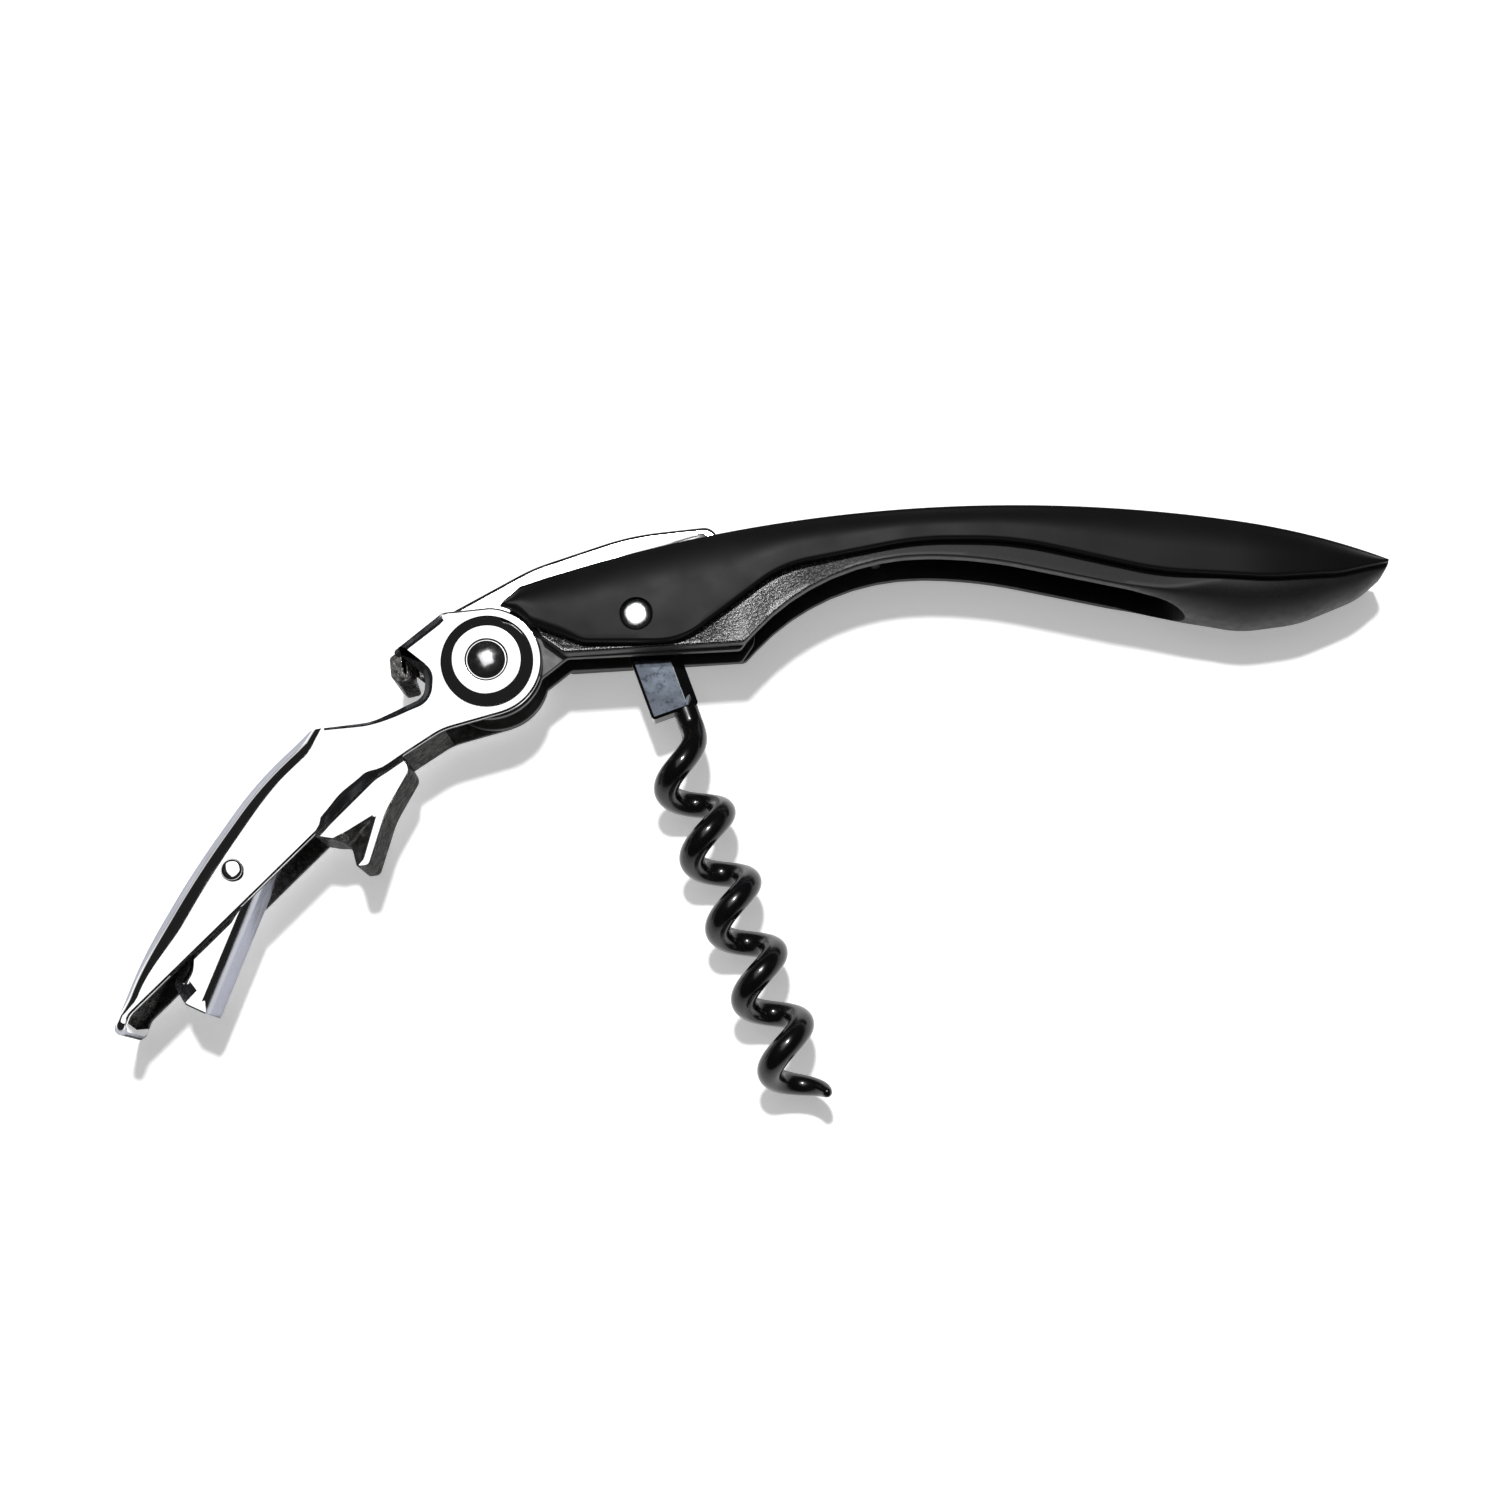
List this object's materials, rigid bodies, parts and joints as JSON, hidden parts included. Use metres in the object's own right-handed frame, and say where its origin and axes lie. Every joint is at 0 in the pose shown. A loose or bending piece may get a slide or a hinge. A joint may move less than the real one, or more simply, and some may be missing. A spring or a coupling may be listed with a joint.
{
  "type": "waiters corkscrew",
  "caption": "Folding corkscrew with a two-step lever and cap lifter, a drawn coated worm on a flat shank, a curved scaled handle and a foil cutter folded into its back.",
  "frame": {"origin": "centre of the object's outline in plan, on the plane it rests on", "axes": "+X along the handle from the main pivot towards its tail, +Y from the worm side to the handle's back, +Z across the two side plates, up from the resting plane"},
  "size_m": [0.1588, 0.0738, 0.016],
  "materials": {
    "chrome": "polished nickel plate",
    "cap_chrome": "polished turned cap",
    "pivot_steel": "plain domed rivet",
    "black_moulding": "fine grained black moulding",
    "scale_black": "satin black, soft sheen",
    "black_steel": "smooth black oxide",
    "worm_black": "gloss black non-stick coat",
    "blade_steel": "fine lengthwise grind",
    "spring_steel": "plain",
    "washer_brass": "plain stamped"
  },
  "bodies": {
    "handle": {"handle_frame": "black_moulding", "liner_front": "black_steel", "liner_rear": "black_steel", "scale_front": "scale_black", "scale_rear": "scale_black", "main_pivot_pin": "pivot_steel", "pivot_cap_front": "cap_chrome", "pivot_cap_rear": "cap_chrome", "pivot_washer_front": "washer_brass", "pivot_washer_rear": "washer_brass", "worm_pin": "chrome", "worm_washer_front": "washer_brass", "worm_washer_rear": "washer_brass", "blade_spacer_front": "washer_brass", "blade_spacer_rear": "washer_brass", "back_spring": "spring_steel", "spring_pin": "spring_steel"},
    "lever": {"lever_body": "chrome", "second_step_pin": "chrome"},
    "second_step": {"second_step": "chrome"},
    "worm": {"worm": "worm_black"},
    "blade": {"foil_cutter": "blade_steel"}
  },
  "joints": [
    {"name": "lever_pivot", "type": "hinge", "parent": "handle", "child": "lever", "pos_m": [-0.03451, 0.0169, 0.008], "axis": [0, 0, 1], "range_deg": [0, 118]},
    {"name": "worm_pivot", "type": "hinge", "parent": "handle", "child": "worm", "pos_m": [-0.01581, 0.0225, 0.008], "axis": [0, 0, 1], "range_deg": [0, 75]},
    {"name": "step_pivot", "type": "hinge", "parent": "lever", "child": "second_step", "pos_m": [-0.06535, -0.00942, 0.008], "axis": [0, 0, 1], "range_deg": [-10, 30]},
    {"name": "blade_pivot", "type": "hinge", "parent": "handle", "child": "blade", "pos_m": [-0.03451, 0.0169, 0.008], "axis": [0, 0, 1], "range_deg": [0, 60]}
  ],
  "couplings": [
    {"joint": "worm_pivot", "follows": "lever_pivot", "ratio": 0.6217}
  ]
}
